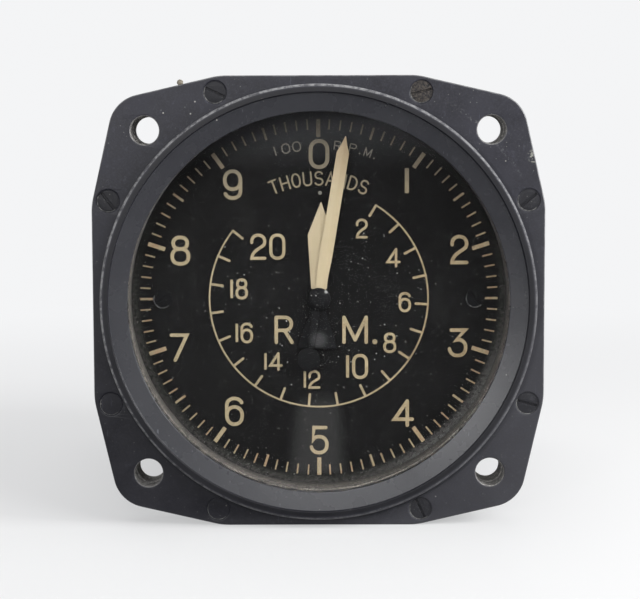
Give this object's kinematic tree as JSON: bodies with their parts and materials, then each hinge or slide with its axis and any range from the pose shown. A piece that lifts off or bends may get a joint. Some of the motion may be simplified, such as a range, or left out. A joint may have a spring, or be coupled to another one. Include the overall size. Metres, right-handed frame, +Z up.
{
  "type": "aircraft tachometer",
  "caption": "Flange-mounted cockpit tachometer with a round glazed dial, two coaxial pointers, a drag-cup movement, a motor drive and a rear electrical connector.",
  "frame": {"origin": "centre of the bounding box, on the axis of the dial and pointers", "axes": "-Y out of the dial towards the viewer, +Y to the connector at the back, +Z up, +X to the right as seen from the front"},
  "size_m": [0.0826, 0.1138, 0.0826],
  "materials": {
    "black_paint": "satin black enamel with fine wear",
    "screw_steel": "blackened",
    "case_paint": "satin black",
    "window_glass": "clear",
    "gasket_rubber": "matt",
    "spacer_paint": "matt, aged brown grey",
    "dial_paint": "matt black",
    "dial_screw_black": "blackened",
    "pointer_paint": "aged cream paint, black tails",
    "frame_brass": "satin",
    "gear_brass": "bright",
    "polished_steel": "polished",
    "spring_bronze": "bright",
    "cup_copper": "bright copper",
    "magnet_steel": "ground",
    "drum_iron": "turned",
    "shield_aluminium": "cast and turned",
    "core_iron": "laminated, varnished",
    "winding_enamel": "varnished copper wire",
    "connector_metal": "plated",
    "insulator_plastic": "moulded",
    "pin_gold": "gold plated",
    "lead_sleeve": "woven sleeve"
  },
  "bodies": {
    "instrument": {"front_bezel": "black_paint", "bezel_screw_1": "screw_steel", "bezel_screw_2": "screw_steel", "bezel_screw_3": "screw_steel", "bezel_screw_4": "screw_steel", "bezel_screw_5": "screw_steel", "bezel_screw_6": "screw_steel", "bezel_screw_7": "screw_steel", "bezel_screw_8": "screw_steel", "case": "case_paint", "cover_glass": "window_glass", "glass_gasket": "gasket_rubber", "dial_spacer": "spacer_paint", "dial": "dial_paint", "dial_screw_left": "dial_screw_black", "dial_screw_right": "dial_screw_black", "front_plate": "frame_brass", "gear_bridge": "frame_brass", "spindle_plate": "frame_brass", "bridge_post_1": "frame_brass", "bridge_post_2": "frame_brass", "bridge_post_3": "frame_brass", "frame_pillar_1": "frame_brass", "frame_pillar_2": "frame_brass", "frame_pillar_3": "frame_brass", "hairspring_stud": "frame_brass", "pipe_bush": "gear_brass", "bridge_bush": "gear_brass", "front_bearing": "polished_steel", "rear_bearing": "polished_steel", "motor_rod_1": "polished_steel", "motor_rod_2": "polished_steel", "motor_rod_3": "polished_steel", "hairspring": "spring_bronze", "motor_front_shield": "shield_aluminium", "motor_rear_shield": "shield_aluminium", "stator_core": "core_iron", "winding_front": "winding_enamel", "winding_rear": "winding_enamel", "connector_shell": "connector_metal", "connector_insulator": "insulator_plastic", "connector_pin_1": "pin_gold", "connector_pin_2": "pin_gold", "connector_pin_3": "pin_gold", "stator_lead_1": "lead_sleeve", "stator_lead_2": "lead_sleeve", "stator_lead_3": "lead_sleeve"},
    "rotor": {"rotor_shaft": "polished_steel", "motor_rotor": "core_iron", "drag_magnet": "magnet_steel", "flux_drum": "drum_iron"},
    "drag_element": {"drag_spindle": "polished_steel", "drag_cup": "cup_copper", "spindle_wheel": "gear_brass"},
    "layshaft_body": {"layshaft": "gear_brass"},
    "long_hand": {"centre_arbor": "polished_steel", "long_pointer": "pointer_paint"},
    "short_hand": {"pointer_pipe": "gear_brass", "short_pointer": "pointer_paint"}
  },
  "joints": [
    {"name": "rotor_spin", "type": "hinge", "parent": "instrument", "child": "rotor", "pos_m": [0, 0.01286, 0], "axis": [0, 1, 0], "continuous": true},
    {"name": "spindle_turn", "type": "hinge", "parent": "instrument", "child": "drag_element", "pos_m": [0, -0.03184, 0], "axis": [0, 1, 0], "range_deg": [0, 307.69], "stiffness_Nm_per_rad": 0.0005, "springref_deg": -20.05, "deforming": ["hairspring"]},
    {"name": "layshaft_turn", "type": "hinge", "parent": "instrument", "child": "layshaft_body", "pos_m": [0.01085, -0.03784, 0], "axis": [0, 1, 0], "range_deg": [-1600.01, 0]},
    {"name": "long_pointer_turn", "type": "hinge", "parent": "instrument", "child": "long_hand", "pos_m": [0, -0.04694, 0], "axis": [0, 1, 0], "range_deg": [0, 7200.01]},
    {"name": "short_pointer_turn", "type": "hinge", "parent": "instrument", "child": "short_hand", "pos_m": [0, -0.04614, 0], "axis": [0, 1, 0], "range_deg": [0, 307.69]}
  ],
  "couplings": [
    {"joint": "layshaft_turn", "follows": "spindle_turn", "ratio": -5.2},
    {"joint": "long_pointer_turn", "follows": "spindle_turn", "ratio": 23.4},
    {"joint": "short_pointer_turn", "follows": "spindle_turn", "ratio": 1}
  ]
}
